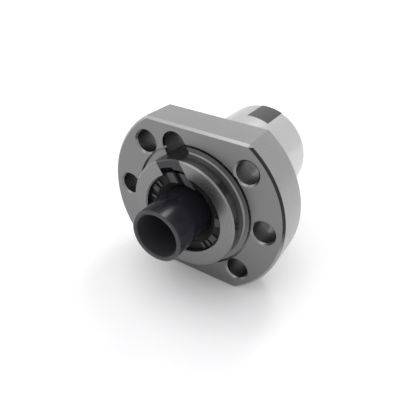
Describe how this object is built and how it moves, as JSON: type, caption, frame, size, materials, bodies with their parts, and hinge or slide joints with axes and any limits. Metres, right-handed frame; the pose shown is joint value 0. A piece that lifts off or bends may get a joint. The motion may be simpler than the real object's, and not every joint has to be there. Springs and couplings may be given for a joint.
{
  "type": "flanged ball nut",
  "caption": "Flanged ball nut with two flats, end deflectors, seals and recirculating balls, carried on a plastic mounting sleeve.",
  "frame": {"origin": "on the nut's axis, in the flange's mounting face (the face towards the long body)", "axes": "+Y along the axis from the flange to the far end of the body, +Z normal to the flange's flats, +X to the right as seen from the collar"},
  "size_m": [0.048, 0.0595, 0.04],
  "materials": {
    "ground_steel": "fine ground and turned, oiled",
    "ball_steel": "polished",
    "deflector_plastic": "moulded, slight sheen",
    "seal_plastic": "moulded",
    "lip_elastomer": "smooth",
    "sleeve_plastic": "extruded, satin",
    "ring_rubber": "smooth"
  },
  "bodies": {
    "nut": {"nut_body": "ground_steel", "front_deflector": "deflector_plastic", "rear_deflector": "deflector_plastic", "front_seal_holder": "seal_plastic", "rear_seal_holder": "seal_plastic", "front_seal_lip": "lip_elastomer", "rear_seal_lip": "lip_elastomer", "load_balls_turn_1": "ball_steel", "load_balls_turn_2": "ball_steel", "load_balls_turn_3": "ball_steel", "load_balls_turn_4": "ball_steel", "load_balls_turn_5": "ball_steel", "load_balls_turn_6": "ball_steel", "rear_turn_balls": "ball_steel", "return_balls": "ball_steel", "front_turn_balls": "ball_steel"},
    "ring": {"retaining_ring": "ring_rubber"},
    "sleeve": {"mounting_sleeve": "sleeve_plastic"}
  },
  "joints": [
    {"name": "sleeve_slide", "type": "slide", "parent": "nut", "child": "ring", "axis": [0, 1, 0], "range_m": [0, 0.013]},
    {"name": "sleeve_spin", "type": "hinge", "parent": "ring", "child": "sleeve", "pos_m": [0, 0, 0], "axis": [0, 1, 0], "continuous": true}
  ]
}
